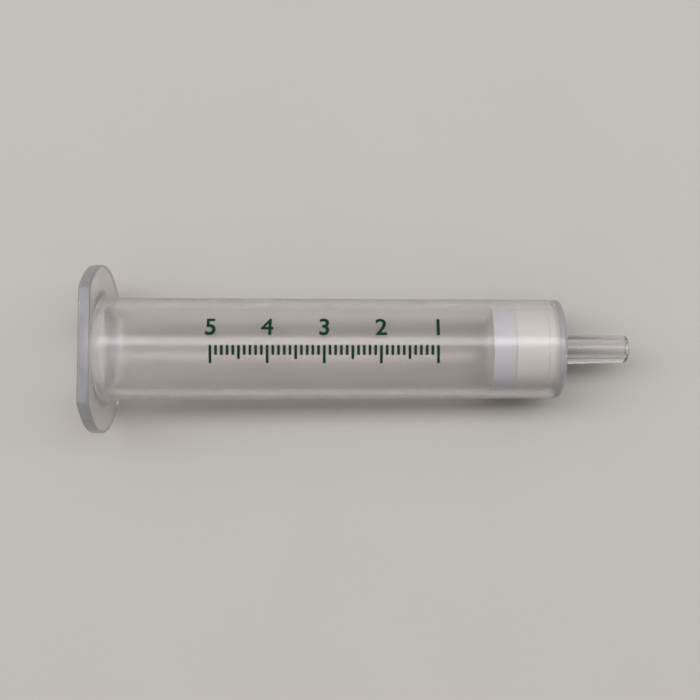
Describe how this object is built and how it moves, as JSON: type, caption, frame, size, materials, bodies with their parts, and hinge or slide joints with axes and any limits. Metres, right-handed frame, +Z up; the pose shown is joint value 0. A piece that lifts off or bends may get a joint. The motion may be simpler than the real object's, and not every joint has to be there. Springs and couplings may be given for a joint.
{
  "type": "solid-phase extraction cartridge",
  "caption": "Disposable sample-preparation tube: see-through flanged barrel, a bed of sorbent powder held between porous discs, and a tapered outlet tip.",
  "frame": {"origin": "middle of the bounding box at its base, on the surface that the tube lies on", "axes": "+X from the mouth towards the outlet tip, +Z up; the tube lies on one flat of its flange and on its closed end, so its axis falls 1.86 degrees towards the tip"},
  "size_m": [0.0802, 0.0252, 0.0192],
  "materials": {
    "barrel_plastic": "clear to slightly milky moulded polypropylene, smooth and glossy",
    "frit_plastic": "white sintered polyethylene with open pores",
    "sorbent_powder": "packed fine powder, cream",
    "print_ink": "thin dark green pad-printed ink"
  },
  "bodies": {
    "root": {"barrel": "barrel_plastic", "upper_frit": "frit_plastic", "sorbent_bed": "sorbent_powder", "lower_frit": "frit_plastic"}
  },
  "joints": []
}
